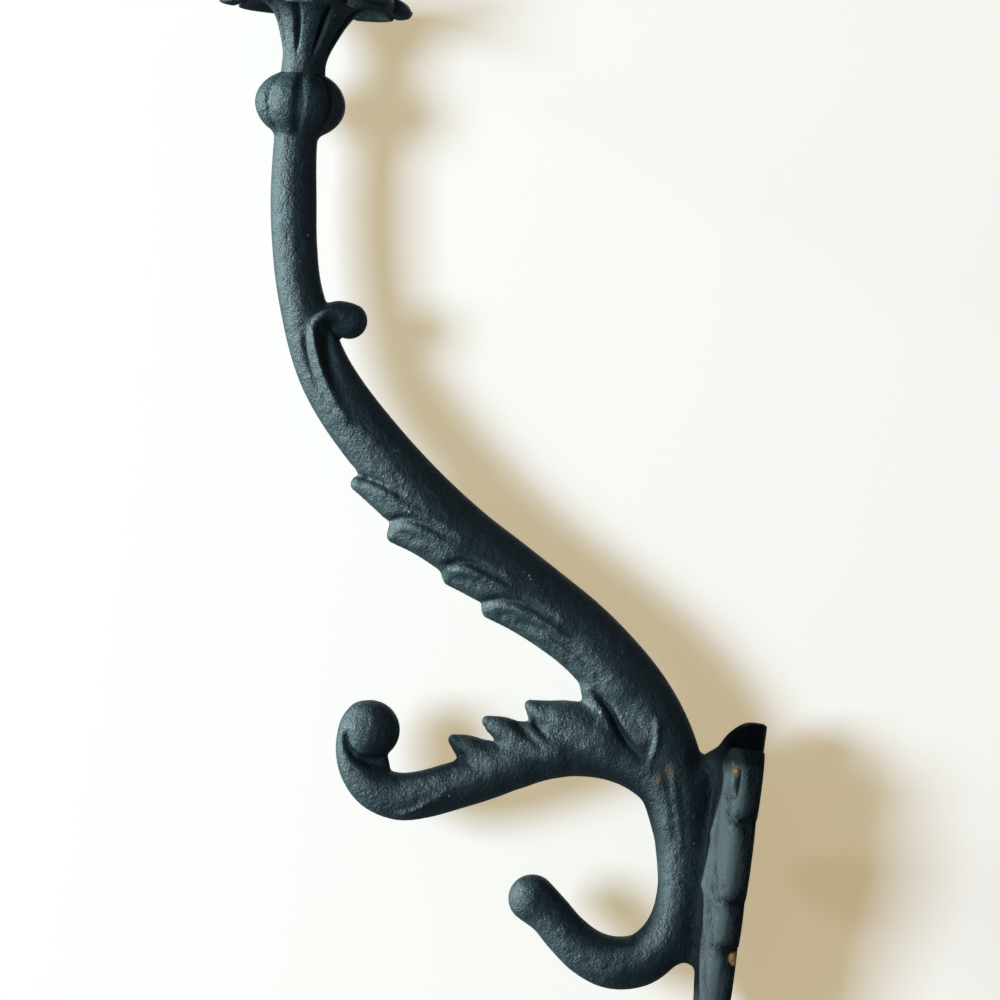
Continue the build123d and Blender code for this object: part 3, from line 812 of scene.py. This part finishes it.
def surface():
    """The pale surface that the hook lies on. It shows from the near side alone, lets lamps shine
    through from behind, and gives off a faint warm glow that only tints its shadows."""
    low = LOW[0] * MM - SURFACE_GAP
    left, right = VIEW_CENTRE[1] - SURFACE_HALF, VIEW_CENTRE[1] + SURFACE_HALF
    foot, top = VIEW_CENTRE[2] - SURFACE_HALF, VIEW_CENTRE[2] + SURFACE_HALF
    mesh = bpy.data.meshes.new("surface")
    mesh.from_pydata([(low, left, foot), (low, right, foot), (low, right, top), (low, left, top)],
                     [], [(0, 1, 2, 3)])
    obj = bpy.data.objects.new("surface", mesh)
    bpy.context.scene.collection.objects.link(obj)
    material = bpy.data.materials.new("white_surface")
    material.use_nodes = True
    tree = material.node_tree
    tree.nodes.remove(tree.nodes["Principled BSDF"])
    path = node(tree, "ShaderNodeLightPath")
    side = node(tree, "ShaderNodeNewGeometry")
    seen = node(tree, "ShaderNodeBsdfDiffuse", Color=(1.0, 1.0, 1.0, 1))
    glow = node(tree, "ShaderNodeEmission", Color=(0.37, 0.25, 0.08, 1), Strength=1.0)
    both = node(tree, "ShaderNodeAddShader")
    unseen = node(tree, "ShaderNodeBsdfDiffuse", Color=(0.3, 0.3, 0.3, 1))
    pick = node(tree, "ShaderNodeMixShader")
    clear = node(tree, "ShaderNodeBsdfTransparent")
    passing = node(tree, "ShaderNodeMath", operation="MAXIMUM")
    mix = node(tree, "ShaderNodeMixShader")
    tree.links.new(seen.outputs["BSDF"], both.inputs[0])
    tree.links.new(glow.outputs["Emission"], both.inputs[1])
    tree.links.new(path.outputs["Is Camera Ray"], pick.inputs["Fac"])
    tree.links.new(unseen.outputs["BSDF"], pick.inputs[1])
    tree.links.new(both.outputs["Shader"], pick.inputs[2])
    tree.links.new(side.outputs["Backfacing"], passing.inputs[0])
    tree.links.new(path.outputs["Is Shadow Ray"], passing.inputs[1])
    tree.links.new(passing.outputs["Value"], mix.inputs["Fac"])
    tree.links.new(pick.outputs["Shader"], mix.inputs[1])
    tree.links.new(clear.outputs["BSDF"], mix.inputs[2])
    tree.links.new(mix.outputs["Shader"], tree.nodes["Material Output"].inputs["Surface"])
    mesh.materials.append(material)


def lamp(name, energy, size, place, target, colour=(1, 1, 1), height=None):
    """An area lamp that faces its target, as wide and high as given, in metres."""
    data = bpy.data.lights.new(name, "AREA")
    data.energy = energy
    data.shape = "RECTANGLE"
    data.size = size
    data.size_y = height or size
    data.color = colour
    obj = bpy.data.objects.new(name, data)
    bpy.context.scene.collection.objects.link(obj)
    away = np.array(place) - np.array(target)
    away = away / np.linalg.norm(away)
    side = np.cross((0, 0, 1), away)
    side = side / np.linalg.norm(side)
    up = np.cross(away, side)
    rotation = Matrix((side, up, away)).transposed()
    obj.matrix_world = Matrix.Translation(place) @ rotation.to_4x4()


def camera():
    """The view square to the middle plane, turned by the roll, as wide as given at the hook."""
    data = bpy.data.cameras.new("camera")
    data.sensor_width = 36.0
    data.lens = 36.0 * VIEW_DISTANCE / VIEW_WIDTH
    data.clip_start = 0.01
    data.clip_end = 20
    obj = bpy.data.objects.new("camera", data)
    bpy.context.scene.collection.objects.link(obj)
    right = (0, np.cos(VIEW_ROLL), np.sin(VIEW_ROLL))
    up = (0, -np.sin(VIEW_ROLL), np.cos(VIEW_ROLL))
    rotation = Matrix((right, up, (1, 0, 0))).transposed()
    place = VIEW_CENTRE + np.array([VIEW_DISTANCE, 0, 0])
    obj.matrix_world = Matrix.Translation(place) @ rotation.to_4x4()
    bpy.context.scene.camera = obj


def from_view(right, up, near):
    """A direction given by the view's right, its up and towards the viewer."""
    across = np.array([0, np.cos(VIEW_ROLL), np.sin(VIEW_ROLL)])
    above = np.array([0, -np.sin(VIEW_ROLL), np.cos(VIEW_ROLL)])
    way = right * across + up * above + near * np.array([1.0, 0, 0])
    return way / np.linalg.norm(way)


def lights():
    """A window beside the viewer, a narrow tall light past the arms' tips, a weak light behind, and
    a dim room that looks white to the camera."""
    centre = tuple(VIEW_CENTRE)
    lamp("window", 76.0, 0.95, tuple(VIEW_CENTRE + 3.0 * from_view(-0.66, 0.06, 0.75)), centre,
         (0.62, 0.79, 1.0))
    lamp("side_light", 165.0, 0.12, tuple(VIEW_CENTRE + 2.0 * from_view(-0.97, 0.20, 0.025)), centre,
         (0.80, 0.98, 1.0), 1.2)
    lamp("back_light", 45.0, 2.0, tuple(VIEW_CENTRE + 3.0 * from_view(0.0, 0.3, -1.0)), centre)
    world = bpy.data.worlds.new("room")
    bpy.context.scene.world = world
    world.use_nodes = True
    tree = world.node_tree
    background = tree.nodes["Background"]
    background.inputs["Color"].default_value = (0.09, 0.095, 0.10, 1)
    white = node(tree, "ShaderNodeBackground", Color=(0.92, 0.93, 0.94, 1))
    path = node(tree, "ShaderNodeLightPath")
    mix = node(tree, "ShaderNodeMixShader")
    tree.links.new(path.outputs["Is Camera Ray"], mix.inputs["Fac"])
    tree.links.new(background.outputs["Background"], mix.inputs[1])
    tree.links.new(white.outputs["Background"], mix.inputs[2])
    tree.links.new(mix.outputs["Shader"], tree.nodes["World Output"].inputs["Surface"])


skin = cast_skin()
skin.data.materials.clear()
skin.data.materials.append(painted_iron())
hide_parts(NODE)
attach(skin, "root")
surface()
lights()
camera()
bpy.context.scene.view_settings.view_transform = "Standard"
